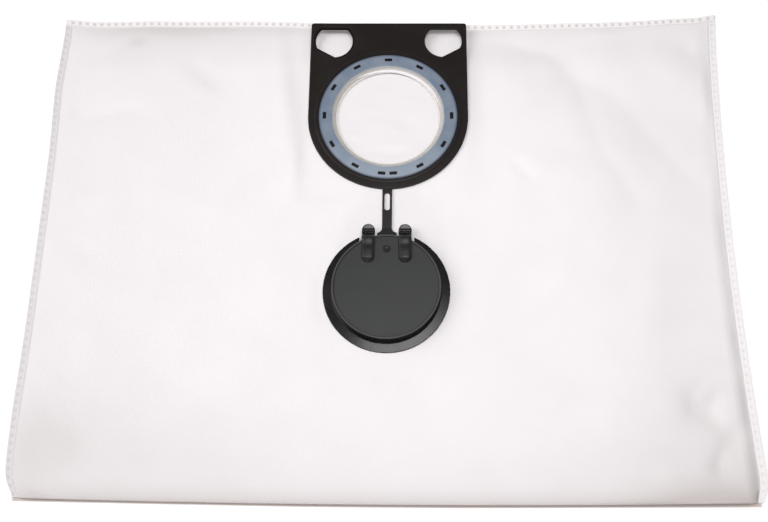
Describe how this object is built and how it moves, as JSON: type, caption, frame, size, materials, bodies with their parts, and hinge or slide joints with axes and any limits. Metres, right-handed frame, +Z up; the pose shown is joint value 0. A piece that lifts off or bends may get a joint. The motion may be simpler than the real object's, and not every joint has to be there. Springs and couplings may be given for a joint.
{
  "type": "vacuum cleaner dust bag",
  "caption": "Flat fleece dust bag with welded edges, a plastic holder plate with grip holes, a soft-lipped port and a hinged closing lid with hooks.",
  "frame": {"origin": "on the floor, under the middle of the bag's bounding box", "axes": "+X along the long welded edge, +Y from the folded edge to the welded edge with the port, +Z up out of the port"},
  "size_m": [0.62, 0.454, 0.0275],
  "materials": {
    "fleece": "white bonded nonwoven fleece with a fine pressed diamond pattern",
    "black_plastic": "black moulded plastic, satin",
    "seal_rubber": "milky translucent thermoplastic rubber, smooth",
    "lid_plastic": "dark grey moulded plastic, semi-gloss"
  },
  "bodies": {
    "bag": {"fleece_bag": "fleece", "holder_plate": "black_plastic", "port_seal": "seal_rubber"},
    "lid": {"closing_lid": "lid_plastic"}
  },
  "joints": [
    {"name": "lid_hinge", "type": "hinge", "parent": "bag", "child": "lid", "pos_m": [0, 0.0325, 0.0128], "axis": [-1, 0, 0], "range_deg": [0, 160]}
  ]
}
